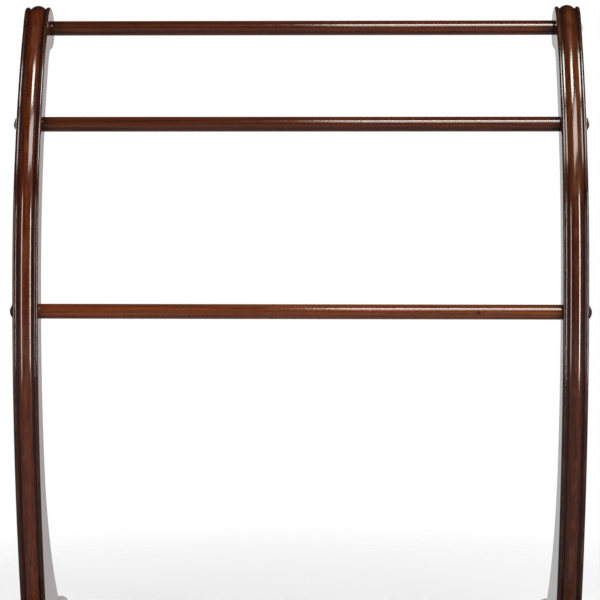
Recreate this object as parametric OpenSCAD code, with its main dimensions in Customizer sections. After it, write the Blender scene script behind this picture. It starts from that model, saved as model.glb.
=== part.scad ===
// Free-standing quilt rack: two bow-fronted side frames, each a moulded post with a scrolled top on a
// two-toed foot, held apart by four round rails. Every rail end is bolted through its side frame, and a
// turned button covers the bolt head.
//
// Frame: +X to the right seen from the front, +Y to the back, +Z up. The origin is on the floor, at the
// middle of the feet. All sizes are millimetres.

/* [Overall] */
// Width over the outer faces of the two side frames
rack_width = 760; // [600:10:1000]
// Height of the top of the scrolls above the floor
rack_height = 914; // [840:1:1120]
// Length of each foot from toe to toe
foot_length = 352; // [300:1:430]

/* [Posts] */
// Thickness of the posts and feet, side to side
post_thickness = 34; // [28:1:44]
// Depth of a post from the shoulder of its edge beads to its back
post_depth = 26; // [22:1:32]
// Radius of the bow above the belly
upper_bow_radius = 800; // [650:10:1000]
// Height where the upper bow starts
upper_bow_z = 541; // [530:1:600]
// Radius of the bow below the belly
lower_bow_radius = 1380; // [1100:10:1700]
// Height where the lower bow starts
lower_bow_z = 520; // [460:1:528]
// Radius of the scroll, to the shoulder of its edge beads
scroll_radius = 25.5; // [20:0.5:31]
// Radius of the slack curve at the back of the belly
back_slack_radius = 950; // [800:10:1200]
// Angle that the slack curve turns through
back_slack_angle = 14; // [10:0.5:16]
// Radius of the tighter curve that flares the back into the foot
back_flare_radius = 413; // [360:1:500]

/* [Moulding] */
// Width of each edge bead
edge_bead_width = 6; // [4:0.5:7]
// Height of the edge beads above their shoulder
edge_bead_height = 3.5; // [3:0.1:5]
// Width of the flat quirk on each side of the middle bead
quirk_width = 1.5; // [1:0.1:3]
// Height of the quirks above the shoulder
quirk_height = 1.3; // [0.5:0.1:2]
// Height of the middle bead above the shoulder
middle_bead_height = 5.5; // [4:0.1:7]

/* [Feet] */
// Height of the joint between a post and its foot
joint_z = 83; // [72:1:103]
// Flat ledge left on the foot behind the post
foot_ledge = 6; // [4:1:12]
// Radius of the round toes
toe_radius = 28; // [22:1:32]
// Length of the flat sole at each toe, inside the toe's round
sole_length = 30; // [26:1:40]
// Rise of the arch between the toes
arch_rise = 32; // [20:1:36]
// Diameter of the floor glides
glide_diameter = 22; // [18:1:25]
// Height of the glides under the wood
glide_height = 4; // [3:0.5:6]
// Width of the chamfer round the underside of the glides
glide_chamfer = 1; // [0.5:0.1:1.5]
// Diameter of the nail that holds a glide
glide_nail_diameter = 2.4; // [1.8:0.1:3.2]
// Length of the glide's nail above its disc
glide_nail_length = 14; // [10:1:18]

/* [Rails] */
// Diameter of the rails
rail_diameter = 20; // [17:0.5:22]
// Height of the second rail
second_rail_z = 744; // [620:1:820]
// Height of the third rail
third_rail_z = 493; // [400:1:590]
// Height of the stretcher between the feet
stretcher_z = 62; // [54:1:66]
// Width of the chamfer at the ends of the rails
rail_chamfer = 0.6; // [0.3:0.1:1.5]

/* [Rail bolts] */
// Diameter of the bolts
bolt_diameter = 6; // [5:1:8]
// Length of the bolts under the head
bolt_length = 40; // [34:1:48]
// Diameter of the bolt heads
bolt_head_diameter = 10.6; // [9:0.1:10.8]
// Height of the bolt heads
bolt_head_height = 3.4; // [3:0.1:4]
// Hexagon key size of the bolt heads
bolt_key = 4; // [3:0.5:5]
// Depth of the key's socket in the bolt heads
bolt_key_depth = 2.2; // [1.5:0.1:2.4]
// Outer diameter of the washers
washer_diameter = 11; // [10:0.1:11.1]
// Thickness of the washers
washer_thickness = 1; // [0.8:0.1:1.5]
// Outer diameter of the threaded inserts in the rail ends
insert_diameter = 10; // [9:0.5:12]
// Length of the threaded inserts
insert_length = 15; // [12:1:18]

/* [Buttons] */
// Diameter of the hole that takes the bolt head and the button's peg
counterbore_diameter = 12; // [11.2:0.1:14]
// Depth of that hole
counterbore_depth = 10; // [9:0.5:13]
// Diameter of the buttons
button_diameter = 18; // [15:0.5:20]
// Height of the buttons above the post
button_height = 5.5; // [4:0.5:8]
// Straight rim under the dome
button_rim = 2; // [0.5:0.1:2.5]
// Length of the button's peg
button_peg_length = 4; // [3:0.5:4.5]

/* [Dowels] */
// Diameter of the dowels between a post and its foot
dowel_diameter = 8; // [6:1:10]
// Length of the dowels
dowel_length = 50; // [40:1:54]
// Distance of the front dowel behind the front of the joint
front_dowel_inset = 16; // [12:1:20]
// Distance of the rear dowel behind the stretcher's bolt
rear_dowel_offset = 13; // [12:1:15]

/* [Hidden] */
$fn = 96;
eps = 0.01;
// How far a cutter runs past the face that it leaves by
overcut = 1;
// Clearance of a bolt in the wood, on the diameter
bolt_clearance = 0.6;
// Clearance on the diameter between pieces that slide together and are glued or screwed
fit_gap = 0.1;
// Room left past the end of a dowel or a bolt in its hole
end_gap = 1;
// How deep the moulded strip reaches behind its shoulder, and how deep the web's front lies in it
strip_depth = 8;
web_inset = 4;
// How deep in the neck the strip ends, once it has gone round the scroll
strip_tuck = 3;
// How far a post's blank runs on below the joint before it is sawn level
saw_waste = 5;
// Height of the block taken away below the joint, which clears the blank's slanting end
saw_block = 15;
// Angles between the points of a sawn curve, and of the tight curve round the scroll
curve_step = 2;
scroll_step = 10;
// Segments round an edge bead, and across the middle bead
edge_bead_steps = 6;
middle_bead_steps = 8;
// Segments up a button's dome
dome_steps = 6;

half_width = rack_width / 2;
inner_x = half_width - post_thickness;
half_thickness = post_thickness / 2;
scroll_z = rack_height - scroll_radius - middle_bead_height;
rail_inset = post_depth / 2;

// Lean of the upper bow where it meets the scroll
scroll_lean = asin((scroll_z - upper_bow_z) / (upper_bow_radius - scroll_radius));

// How far a circle of radius r falls away from its tangent, over a run
function fall(r, run) = r - sqrt(r * r - run * run);

// Angles from a to b, no further apart than step
function angles(a, b, step) =
    let (n = max(1, ceil(abs(b - a) / step)))
    [for (i = [0 : n]) a + (b - a) * i / n];

// The point at an angle on a circle
function on_circle(c, r, t) = [c[0] + r * cos(t), c[1] + r * sin(t)];

// Points along a circle, from angle a to angle b
function arc(c, r, a, b, step = curve_step) = [for (t = angles(a, b, step)) on_circle(c, r, t)];

// A list back to front, and a list without its first item
function reversed(list) = [for (i = [len(list) - 1 : -1 : 0]) list[i]];
function rest(list) = [for (i = [1 : 1 : len(list) - 1]) list[i]];

// Where the back's slack curve ends, measured from the belly
slack_end = [
    post_depth + fall(back_slack_radius, back_slack_radius * sin(back_slack_angle)),
    lower_bow_z - back_slack_radius * sin(back_slack_angle)
];
// The flare leaves the slack curve on its tangent and ends at the joint
flare_start = slack_end + back_flare_radius * [cos(back_slack_angle), sin(back_slack_angle)];
joint_back = flare_start[0] - sqrt(pow(back_flare_radius, 2) - pow(flare_start[1] - joint_z, 2));
joint_front = fall(lower_bow_radius, lower_bow_z - joint_z);
// The foot's middle is under the middle of the joint, so the belly stands this far forward of it
belly_y = -(joint_front + joint_back) / 2;

// Centres of the curves in the side plane
upper_centre = [belly_y + upper_bow_radius, upper_bow_z];
lower_centre = [belly_y + lower_bow_radius, lower_bow_z];
slack_centre = [belly_y + post_depth + back_slack_radius, lower_bow_z];
flare_centre = flare_start + [belly_y, 0];
// Lean of the lower bow and of the flare at the bottom of the blank, which is then sawn off at the joint
lower_lean = asin((lower_bow_z - joint_z + saw_waste) / lower_bow_radius);
flare_lean = asin((flare_start[1] - joint_z + saw_waste) / back_flare_radius);

// Distance of a rail's axis behind the shoulder of the belly, for a rail at height z
function bow_y(z) =
    z > upper_bow_z ? upper_bow_radius - sqrt(pow(upper_bow_radius - rail_inset, 2) - pow(z - upper_bow_z, 2))
    : z < lower_bow_z ? lower_bow_radius - sqrt(pow(lower_bow_radius - rail_inset, 2) - pow(lower_bow_z - z, 2))
    : rail_inset;

scroll_y = upper_centre[0] - (upper_bow_radius - scroll_radius) * cos(scroll_lean);
// How much further than the neck's line the strip turns, so that its end is inside the neck
scroll_tuck = asin((max(0, scroll_radius - post_depth) + strip_tuck) / (scroll_radius - strip_depth));
top_rail = [scroll_y, scroll_z];
second_rail = [belly_y + bow_y(second_rail_z), second_rail_z];
third_rail = [belly_y + bow_y(third_rail_z), third_rail_z];
stretcher = [0, stretcher_z];

joint_half = (joint_back - joint_front) / 2;
shelf_half = joint_half + foot_ledge;
toe_y = foot_length / 2 - toe_radius;
toe_z = glide_height + toe_radius;
// The curve that is level at the shelf's edge and runs into the round of the toe
instep_drop = joint_z - toe_z;
instep_run = toe_y - shelf_half;
instep_radius = (instep_run * instep_run + instep_drop * instep_drop - toe_radius * toe_radius)
    / (2 * (instep_drop - toe_radius));
toe_angle = atan2(toe_z - joint_z + instep_radius, instep_run);
arch_half = toe_y - sole_length;
arch_radius = (arch_half * arch_half + arch_rise * arch_rise) / (2 * arch_rise);
glide_y = toe_y - sole_length / 2;

// Depth of a dowel's hole in the post, and in the foot
dowel_hole = dowel_length / 2 + end_gap;
dowel_ys = [-joint_half + front_dowel_inset, rear_dowel_offset];

// Where an edge bead goes down to the quirk, as an angle round the bead
quirk_angle = acos((quirk_height - edge_bead_height + edge_bead_width / 2) / (edge_bead_width / 2));
middle_bead_half = half_thickness - edge_bead_width - quirk_width;
middle_bead_rise = middle_bead_height - quirk_height;
middle_bead_radius = (pow(middle_bead_half, 2) + pow(middle_bead_rise, 2)) / (2 * middle_bead_rise);
middle_bead_angle = asin(middle_bead_half / middle_bead_radius);

bolt_hole = bolt_diameter + bolt_clearance;
washer_x = half_width - counterbore_depth;
bolt_head_x = washer_x + washer_thickness;
bolt_tip_x = bolt_head_x - bolt_length;
dome_radius = (pow(button_diameter / 2, 2) + pow(button_height - button_rim, 2))
    / (2 * (button_height - button_rim));

// ---- Placing helpers ----

// Stands a drawing in (y, z) up in the side plane, with its extrusion along +X
module side_plane() {
    rotate([90, 0, 90]) children();
}

// A cylinder along +X from x0 to x1, through the point p in (y, z)
module x_cylinder(p, d, x0, x1) {
    translate([x0, p[0], p[1]]) rotate([0, 90, 0]) cylinder(d = d, h = x1 - x0);
}

// Draws a right-hand piece on the side asked for
module on_side(side) {
    if (side == "left") mirror([1, 0, 0]) children();
    else children();
}

// ---- Post ----

// Points over a bead from angle a to angle b, as [height above the shoulder, place across the post]
function bead(x, r, top, a, b, steps) =
    [for (t = angles(a, b, abs(b - a) / steps)) [top - r + r * cos(t), x + r * sin(t)]];

edge_bead_x = half_thickness - edge_bead_width / 2;

// Section of the moulded strip. It starts at the middle of the back, which sees every other point
strip_section = concat(
    [[-strip_depth, 0], [-strip_depth, -half_thickness]],
    bead(-edge_bead_x, edge_bead_width / 2, edge_bead_height, -90, quirk_angle, edge_bead_steps),
    bead(0, middle_bead_radius, middle_bead_height, -middle_bead_angle, middle_bead_angle, middle_bead_steps),
    bead(edge_bead_x, edge_bead_width / 2, edge_bead_height, -quirk_angle, 90, edge_bead_steps),
    [[-strip_depth, half_thickness]]
);

// One ring of the strip's points, as the section stands at an angle on a circle
function ring(c, r, t) = [for (p = strip_section) let (q = on_circle(c, r + p[0], t)) [p[1], q[0], q[1]]];

// Up the lower bow and the upper bow, then over the scroll until the strip is buried in the neck
strip_rings = concat(
    [for (t = angles(180 + lower_lean, 180, curve_step)) ring(lower_centre, lower_bow_radius, t)],
    [for (t = angles(180, 180 - scroll_lean, curve_step)) ring(upper_centre, upper_bow_radius, t)],
    [for (t = rest(angles(180 - scroll_lean, -90 - scroll_lean - scroll_tuck, scroll_step)))
        ring([scroll_y, scroll_z], scroll_radius, t)]
);

// The solid through a list of rings that all have the same number of points
module skin(rings) {
    n = len(rings[0]);
    last = len(rings) - 1;
    polyhedron(
        points = [for (one = rings) each one],
        faces = concat(
            [[for (i = [0 : n - 1]) i]],
            [for (j = [0 : last - 1], i = [0 : n - 1]) let (k = (i + 1) % n)
                [j * n + i, (j + 1) * n + i, (j + 1) * n + k, j * n + k]],
            [[for (i = [n - 1 : -1 : 0]) last * n + i]]
        ),
        convexity = 10
    );
}

// The flat web that the strip is worked on: bows, scroll, and the back's slack curve and flare
module web() {
    scroll_r = scroll_radius - web_inset;
    back_r = upper_bow_radius - post_depth;
    front = concat(
        arc(lower_centre, lower_bow_radius - web_inset, 180 + lower_lean, 180),
        arc(upper_centre, upper_bow_radius - web_inset, 180, 180 - scroll_lean),
        rest(arc([scroll_y, scroll_z], scroll_r, 180 - scroll_lean,
            -90 - scroll_lean + asin((post_depth - scroll_radius) / scroll_r), scroll_step))
    );
    back = concat(
        arc(upper_centre, back_r, 180 - scroll_lean + asin(scroll_r / back_r), 180),
        arc(slack_centre, back_slack_radius, 180, 180 + back_slack_angle),
        rest(arc(flare_centre, back_flare_radius, 180 + back_slack_angle, 180 + flare_lean))
    );
    translate([-half_thickness, 0, 0]) side_plane()
        linear_extrude(post_thickness) polygon(concat(front, back));
}

module post() {
    color("saddlebrown") difference() {
        translate([inner_x + half_thickness, 0, 0]) {
            skin(strip_rings);
            web();
        }
        translate([inner_x - overcut, -foot_length / 2, joint_z - saw_block])
            cube([post_thickness + 2 * overcut, foot_length, saw_block]);
        for (p = [top_rail, second_rail, third_rail]) bolt_way(p);
        for (y = dowel_ys)
            translate([inner_x + half_thickness, y, joint_z - eps])
                cylinder(d = dowel_diameter + fit_gap, h = dowel_hole + eps);
    }
}

// ---- Foot ----

module foot_outline() {
    instep = arc([shelf_half, joint_z - instep_radius], instep_radius, 90, toe_angle);
    toe = arc([toe_y, toe_z], toe_radius, toe_angle, -90, scroll_step);
    half = concat(instep, rest(toe));
    polygon(concat(half, [for (p = reversed(half)) [-p[0], p[1]]]));
}

module foot() {
    color("saddlebrown") difference() {
        translate([inner_x, 0, 0]) side_plane()
            linear_extrude(post_thickness) foot_outline();
        x_cylinder([0, glide_height + arch_rise - arch_radius], 2 * arch_radius,
            inner_x - overcut, half_width + overcut);
        bolt_way(stretcher);
        for (y = dowel_ys)
            translate([inner_x + half_thickness, y, joint_z - dowel_hole])
                cylinder(d = dowel_diameter + fit_gap, h = dowel_hole + overcut);
        for (y = [-glide_y, glide_y])
            translate([inner_x + half_thickness, y, glide_height - overcut])
                cylinder(d = glide_nail_diameter + fit_gap, h = glide_nail_length + end_gap + overcut);
    }
}

// ---- Rails and what holds them ----

// The bolt's hole and the counterbore over its head
module bolt_way(p) {
    x_cylinder(p, bolt_hole, inner_x - overcut, half_width + overcut);
    x_cylinder(p, counterbore_diameter, half_width - counterbore_depth, half_width + overcut);
}

module rail(p) {
    color("sienna") difference() {
        union() {
            x_cylinder(p, rail_diameter, -inner_x + rail_chamfer, inner_x - rail_chamfer);
            for (s = [0, 1]) mirror([s, 0, 0])
                translate([inner_x - rail_chamfer, p[0], p[1]]) rotate([0, 90, 0])
                    cylinder(d1 = rail_diameter, d2 = rail_diameter - 2 * rail_chamfer, h = rail_chamfer);
        }
        for (s = [0, 1]) mirror([s, 0, 0]) {
            x_cylinder(p, insert_diameter + fit_gap, inner_x - insert_length, inner_x + overcut);
            x_cylinder(p, bolt_hole, min(bolt_tip_x, inner_x - insert_length) - end_gap, inner_x);
        }
    }
}

module bolt(p) {
    color("silver") difference() {
        union() {
            x_cylinder(p, bolt_diameter, bolt_tip_x, bolt_head_x + eps);
            x_cylinder(p, bolt_head_diameter, bolt_head_x, bolt_head_x + bolt_head_height);
        }
        translate([bolt_head_x + bolt_head_height - bolt_key_depth, p[0], p[1]]) rotate([0, 90, 0])
            cylinder(d = bolt_key / cos(30), h = bolt_head_height, $fn = 6);
    }
}

module washer(p) {
    color("gainsboro") difference() {
        x_cylinder(p, washer_diameter, washer_x, washer_x + washer_thickness);
        x_cylinder(p, bolt_diameter + fit_gap, washer_x - overcut, washer_x + washer_thickness + overcut);
    }
}

module insert(p) {
    color("goldenrod") difference() {
        x_cylinder(p, insert_diameter, inner_x - insert_length, inner_x);
        x_cylinder(p, bolt_diameter + fit_gap, inner_x - insert_length - overcut, inner_x + overcut);
    }
}

// The button is turned in one piece: peg, flat underside, rim and dome
module button(p) {
    peg_r = (counterbore_diameter - fit_gap) / 2;
    dome_base = button_height - dome_radius;
    rim_angle = asin(button_diameter / 2 / dome_radius);
    dome = [for (t = rest(reversed(angles(0, rim_angle, rim_angle / dome_steps))))
        [dome_radius * sin(t), dome_base + dome_radius * cos(t)]];
    color("saddlebrown") translate([half_width, p[0], p[1]]) rotate([0, 90, 0])
        rotate_extrude() polygon(concat(
            [[0, -button_peg_length], [peg_r, -button_peg_length], [peg_r, 0]],
            [[button_diameter / 2, 0], [button_diameter / 2, button_rim]],
            dome
        ));
}

module dowel(y) {
    color("burlywood") translate([inner_x + half_thickness, y, joint_z - dowel_length / 2])
        cylinder(d = dowel_diameter, h = dowel_length);
}

module glide(y) {
    color("dimgray") translate([inner_x + half_thickness, y, 0]) {
        cylinder(d1 = glide_diameter - 2 * glide_chamfer, d2 = glide_diameter, h = glide_chamfer);
        translate([0, 0, glide_chamfer])
            cylinder(d = glide_diameter, h = glide_height - glide_chamfer);
        translate([0, 0, glide_height - eps])
            cylinder(d = glide_nail_diameter, h = glide_nail_length + eps);
    }
}

// ---- Nodes ----

on_side("left") post();  // left_post
on_side("right") post();  // right_post
on_side("left") foot();  // left_foot
on_side("right") foot();  // right_foot
rail(top_rail);
rail(second_rail);
rail(third_rail);
rail(stretcher);  // stretcher_rail
on_side("left") bolt(top_rail);  // left_top_bolt
on_side("left") bolt(second_rail);  // left_second_bolt
on_side("left") bolt(third_rail);  // left_third_bolt
on_side("left") bolt(stretcher);  // left_stretcher_bolt
on_side("right") bolt(top_rail);  // right_top_bolt
on_side("right") bolt(second_rail);  // right_second_bolt
on_side("right") bolt(third_rail);  // right_third_bolt
on_side("right") bolt(stretcher);  // right_stretcher_bolt
on_side("left") washer(top_rail);  // left_top_washer
on_side("left") washer(second_rail);  // left_second_washer
on_side("left") washer(third_rail);  // left_third_washer
on_side("left") washer(stretcher);  // left_stretcher_washer
on_side("right") washer(top_rail);  // right_top_washer
on_side("right") washer(second_rail);  // right_second_washer
on_side("right") washer(third_rail);  // right_third_washer
on_side("right") washer(stretcher);  // right_stretcher_washer
on_side("left") insert(top_rail);  // left_top_insert
on_side("left") insert(second_rail);  // left_second_insert
on_side("left") insert(third_rail);  // left_third_insert
on_side("left") insert(stretcher);  // left_stretcher_insert
on_side("right") insert(top_rail);  // right_top_insert
on_side("right") insert(second_rail);  // right_second_insert
on_side("right") insert(third_rail);  // right_third_insert
on_side("right") insert(stretcher);  // right_stretcher_insert
on_side("left") button(top_rail);  // left_top_button
on_side("left") button(second_rail);  // left_second_button
on_side("left") button(third_rail);  // left_third_button
on_side("left") button(stretcher);  // left_stretcher_button
on_side("right") button(top_rail);  // right_top_button
on_side("right") button(second_rail);  // right_second_button
on_side("right") button(third_rail);  // right_third_button
on_side("right") button(stretcher);  // right_stretcher_button
on_side("left") dowel(dowel_ys[0]);  // left_front_dowel
on_side("left") dowel(dowel_ys[1]);  // left_rear_dowel
on_side("right") dowel(dowel_ys[0]);  // right_front_dowel
on_side("right") dowel(dowel_ys[1]);  // right_rear_dowel
on_side("left") glide(-glide_y);  // left_front_glide
on_side("left") glide(glide_y);  // left_rear_glide
on_side("right") glide(-glide_y);  // right_front_glide
on_side("right") glide(glide_y);  // right_rear_glide
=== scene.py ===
# %% [markdown]
# # A bow-fronted quilt rack
#
# A quilt rack is a light stand that keeps folded quilts off the bed. This one has two side frames, each
# a moulded post that bows out at the belly and rolls back into a scroll at the top, on a foot with two
# toes. Round rails run between the frames, and a turned button hides each bolt.
#
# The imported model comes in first. It is the frame that everything is built around: every measure below
# comes from its boxes, or is one of the joiner's own radii.

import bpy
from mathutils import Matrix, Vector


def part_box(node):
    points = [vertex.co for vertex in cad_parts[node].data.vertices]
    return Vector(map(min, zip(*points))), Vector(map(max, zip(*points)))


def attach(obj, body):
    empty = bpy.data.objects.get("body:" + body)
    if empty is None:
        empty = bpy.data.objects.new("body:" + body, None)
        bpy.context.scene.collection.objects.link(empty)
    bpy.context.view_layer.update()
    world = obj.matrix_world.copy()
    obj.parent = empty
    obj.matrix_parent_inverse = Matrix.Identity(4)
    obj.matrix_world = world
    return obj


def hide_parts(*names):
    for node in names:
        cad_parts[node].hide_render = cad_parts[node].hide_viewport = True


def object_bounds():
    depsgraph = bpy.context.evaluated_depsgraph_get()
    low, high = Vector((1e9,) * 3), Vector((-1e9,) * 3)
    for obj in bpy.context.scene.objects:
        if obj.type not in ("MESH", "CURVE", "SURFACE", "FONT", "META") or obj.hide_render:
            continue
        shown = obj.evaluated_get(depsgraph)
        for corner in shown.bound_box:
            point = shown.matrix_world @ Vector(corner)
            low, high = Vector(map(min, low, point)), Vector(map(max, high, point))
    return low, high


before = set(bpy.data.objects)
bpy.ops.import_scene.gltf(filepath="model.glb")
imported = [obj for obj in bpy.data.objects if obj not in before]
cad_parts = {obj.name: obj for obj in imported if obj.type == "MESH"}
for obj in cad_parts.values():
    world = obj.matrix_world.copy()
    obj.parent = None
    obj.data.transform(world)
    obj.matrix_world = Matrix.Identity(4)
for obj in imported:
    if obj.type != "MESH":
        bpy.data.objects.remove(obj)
cad_low, cad_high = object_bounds()
print("the rack is", [round(side, 4) for side in cad_high - cad_low], "m")

# %% The modules that the lesson uses
import math

import bmesh
import bpy
from mathutils import Matrix, Vector

# %% [markdown]
# ## The joiner's measures
#
# The places of the pieces are read from the model. What a box can't say is how a post bends, so the
# radii of its curves are set down here, in metres, as they would be on the joiner's rod.

# %% Places read from the model
post_low, post_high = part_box("right_post")
foot_low, foot_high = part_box("right_foot")
INNER_X = post_low.x
OUTER_X = post_high.x
POST_X = (INNER_X + OUTER_X) / 2
HALF_THICKNESS = (OUTER_X - INNER_X) / 2
JOINT_Z = post_low.z
print("post thickness", round(2 * HALF_THICKNESS, 4), "joint height", round(JOINT_Z, 4))

# %% The post's curves
POST_DEPTH = 0.026
UPPER_BOW_RADIUS = 0.800
UPPER_BOW_Z = 0.541
LOWER_BOW_RADIUS = 1.380
LOWER_BOW_Z = 0.520
SCROLL_RADIUS = 0.0255
SLACK_RADIUS = 0.950
SLACK_ANGLE = math.radians(14)
FLARE_RADIUS = 0.413

# %% The moulding's sizes
EDGE_BEAD_WIDTH = 0.006
EDGE_BEAD_HEIGHT = 0.0035
QUIRK_WIDTH = 0.0015
QUIRK_HEIGHT = 0.0013
MIDDLE_BEAD_HEIGHT = 0.0055
EASED_CORNER = 0.0014

# %% Where the curves fall
BELLY_Y = post_low.y + MIDDLE_BEAD_HEIGHT
SCROLL_Z = post_high.z - SCROLL_RADIUS - MIDDLE_BEAD_HEIGHT
SCROLL_LEAN = math.asin((SCROLL_Z - UPPER_BOW_Z) / (UPPER_BOW_RADIUS - SCROLL_RADIUS))
SCROLL_Y = BELLY_Y + UPPER_BOW_RADIUS - (UPPER_BOW_RADIUS - SCROLL_RADIUS) * math.cos(SCROLL_LEAN)
SLACK_CENTRE_Y = BELLY_Y + POST_DEPTH + SLACK_RADIUS
FLARE_Y = SLACK_CENTRE_Y - (SLACK_RADIUS - FLARE_RADIUS) * math.cos(SLACK_ANGLE)
FLARE_Z = LOWER_BOW_Z - (SLACK_RADIUS - FLARE_RADIUS) * math.sin(SLACK_ANGLE)
SLACK_END_Z = LOWER_BOW_Z - SLACK_RADIUS * math.sin(SLACK_ANGLE)
print("scroll centre", round(SCROLL_Y, 4), round(SCROLL_Z, 4), "lean", round(math.degrees(SCROLL_LEAN), 2))

# %% [markdown]
# ## Carrying a section along a path
#
# A moulded post, a round rail and a turned button look different, but each is one section carried along
# one path: the moulding goes up the bow, and a turner's profile goes once round the lathe. So one
# Geometry Nodes tree makes them all. Curve to Mesh lays the grid of faces, and Set Position then puts
# each point exactly where the joiner's rule says, because the path and the section bring their own
# numbers with them as attributes:
#
# place = near + depth x (far - near) + rise x out + across x side
#
# Letting Curve to Mesh place the points itself would be shorter, but it turns every section square to
# the path, and a post is sawn level at its foot.

# %% Helpers that build nodes
def add(tree, kind, settings=None, sockets=None):
    """Adds a node, sets its options, and fills its sockets with numbers or with other nodes' sockets."""
    node = tree.nodes.new(kind)
    for name, value in (settings or {}).items():
        setattr(node, name, value)
    for key, value in (sockets or {}).items():
        if isinstance(value, bpy.types.NodeSocket):
            tree.links.new(value, node.inputs[key])
        else:
            node.inputs[key].default_value = value
    node.location = (180 * len(tree.nodes), -120 * (len(tree.nodes) % 4))
    return node


def new_group(name, kind, inputs, outputs):
    """Makes an empty node group with named inputs, each with its start value, and named outputs."""
    tree = bpy.data.node_groups.new(name, kind)
    for label, socket_type, value in inputs:
        socket = tree.interface.new_socket(name=label, in_out="INPUT", socket_type=socket_type)
        if value is not None:
            socket.default_value = value
    for label, socket_type in outputs:
        tree.interface.new_socket(name=label, in_out="OUTPUT", socket_type=socket_type)
    return tree, tree.nodes.new("NodeGroupInput").outputs, tree.nodes.new("NodeGroupOutput").inputs


# %% The tree that carries a section along a path
WELD_DISTANCE = 0.00002
SMOOTH_ANGLE = math.radians(38)
sweep_tree, sweep_in, sweep_out = new_group(
    "Carry a section along a path",
    "GeometryNodeTree",
    [
        ("Path", "NodeSocketGeometry", None),
        ("Section", "NodeSocketObject", None),
        ("Close the ends", "NodeSocketBool", False),
        ("Weld distance", "NodeSocketFloat", WELD_DISTANCE),
        ("Smooth below angle", "NodeSocketFloat", SMOOTH_ANGLE),
        ("Finish", "NodeSocketMaterial", None),
    ],
    [("Piece", "NodeSocketGeometry")],
)


def named(tree, name, kind):
    """The value of an attribute that the path or the section brings along."""
    node = add(tree, "GeometryNodeInputNamedAttribute", {"data_type": kind}, {"Name": name})
    return node.outputs["Attribute"]


def times_plus(tree, a, b, c):
    """a x b + c, for vectors."""
    return add(tree, "ShaderNodeVectorMath", {"operation": "MULTIPLY_ADD"}, {0: a, 1: b, 2: c}).outputs[0]


path_curve = add(sweep_tree, "GeometryNodeMeshToCurve", {}, {"Mesh": sweep_in["Path"]})
section_info = add(sweep_tree, "GeometryNodeObjectInfo", {}, {"Object": sweep_in["Section"]})
section_curve = add(sweep_tree, "GeometryNodeMeshToCurve", {}, {"Mesh": section_info.outputs["Geometry"]})
grid = add(sweep_tree, "GeometryNodeCurveToMesh", {}, {
    "Curve": path_curve.outputs[0],
    "Profile Curve": section_curve.outputs[0],
    "Fill Caps": sweep_in["Close the ends"],
})
near = named(sweep_tree, "near", "FLOAT_VECTOR")
reach = add(sweep_tree, "ShaderNodeVectorMath", {"operation": "SUBTRACT"}, {
    0: named(sweep_tree, "far", "FLOAT_VECTOR"),
    1: near,
}).outputs[0]
place = times_plus(sweep_tree, reach, named(sweep_tree, "depth", "FLOAT"), near)
for direction, amount in (("out", "rise"), ("side", "across")):
    towards = named(sweep_tree, direction, "FLOAT_VECTOR")
    place = times_plus(sweep_tree, towards, named(sweep_tree, amount, "FLOAT"), place)
placed = add(sweep_tree, "GeometryNodeSetPosition", {}, {"Geometry": grid.outputs[0], "Position": place})
welded = add(sweep_tree, "GeometryNodeMergeByDistance", {}, {
    "Geometry": placed.outputs[0],
    "Distance": sweep_in["Weld distance"],
})
bend = add(sweep_tree, "GeometryNodeInputMeshEdgeAngle")
gentle = add(sweep_tree, "ShaderNodeMath", {"operation": "LESS_THAN"}, {
    0: bend.outputs["Unsigned Angle"],
    1: sweep_in["Smooth below angle"],
})
smooth = add(sweep_tree, "GeometryNodeSetShadeSmooth", {"domain": "EDGE"}, {
    "Geometry": welded.outputs[0],
    "Shade Smooth": gentle.outputs[0],
})
real = add(sweep_tree, "GeometryNodeRealizeInstances", {}, {"Geometry": smooth.outputs[0]})
finished = add(sweep_tree, "GeometryNodeSetMaterial", {}, {
    "Geometry": real.outputs[0],
    "Material": sweep_in["Finish"],
})
sweep_tree.links.new(finished.outputs[0], sweep_out["Piece"])
print("the tree has", len(sweep_tree.nodes), "nodes")

# %% Helpers that lay out a path or a section
def line_of(name, points, closed, vectors=(), numbers=()):
    """A line of points as a mesh, with a vector or a number stored at each point under each name."""
    mesh = bpy.data.meshes.new(name)
    edges = [(i, i + 1) for i in range(len(points) - 1)]
    if closed:
        edges.append((len(points) - 1, 0))
    mesh.from_pydata([(0, 0.001 * i, 0) for i in range(len(points))], edges, [])
    for key in vectors:
        stored = mesh.attributes.new(key, "FLOAT_VECTOR", "POINT")
        stored.data.foreach_set("vector", [value for point in points for value in point[key]])
    for key in numbers:
        stored = mesh.attributes.new(key, "FLOAT", "POINT")
        stored.data.foreach_set("value", [point[key] for point in points])
    return mesh


PATH_VECTORS = ("near", "far", "out", "side")
PLACING_NUMBERS = ("rise", "across", "depth")
SURFACE_NUMBERS = ("painted_shade", "wear")


def set_input(modifier, tree, name, value):
    """Sets one of the tree's inputs, which a modifier knows by its socket's identifier."""
    for item in tree.interface.items_tree:
        if item.item_type == "SOCKET" and item.in_out == "INPUT" and item.name == name:
            modifier[item.identifier] = value
            return
    raise KeyError(name)


def tidy_normals(mesh):
    """Turns every face of a closed mesh outwards and returns how many open edges it has."""
    shell = bmesh.new()
    shell.from_mesh(mesh)
    bmesh.ops.recalc_face_normals(shell, faces=shell.faces)
    if shell.calc_volume(signed=True) < 0:
        bmesh.ops.reverse_faces(shell, faces=shell.faces)
    open_edges = sum(1 for edge in shell.edges if not edge.is_manifold)
    shell.to_mesh(mesh)
    shell.free()
    return open_edges


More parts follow.
